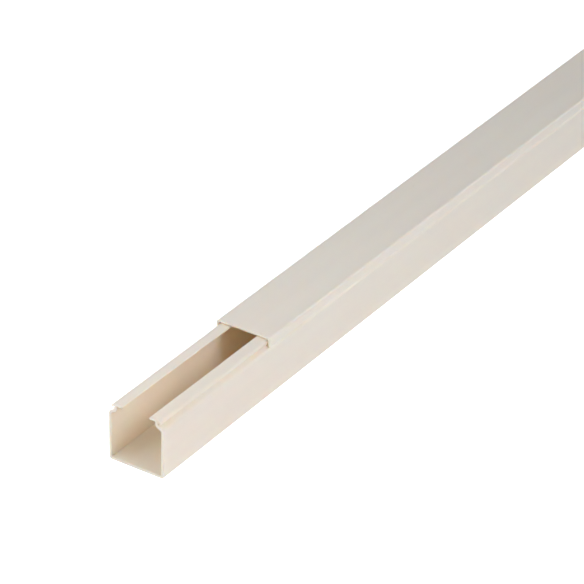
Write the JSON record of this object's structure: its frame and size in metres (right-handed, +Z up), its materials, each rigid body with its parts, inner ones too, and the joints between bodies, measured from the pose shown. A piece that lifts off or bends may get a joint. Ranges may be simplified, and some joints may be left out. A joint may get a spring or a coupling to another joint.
{
  "type": "cable trunking",
  "caption": "Square extruded plastic cable trunking: a U-shaped base with inward snap heads and a clip-on lid that slides along it to cover the cables.",
  "frame": {"origin": "centre of the base's underside", "axes": "+X across the section, +Y along the length away from the open near end, +Z up through the lid"},
  "size_m": [0.03, 2.0845, 0.0315],
  "materials": {
    "shell": "smooth satin extruded cream-white plastic"
  },
  "bodies": {
    "base": {"base": "shell"},
    "lid": {"lid": "shell"}
  },
  "joints": [
    {"name": "lid_slide", "type": "slide", "parent": "base", "child": "lid", "axis": [0, 1, 0], "range_m": [-0.0845, 1.9155]}
  ]
}
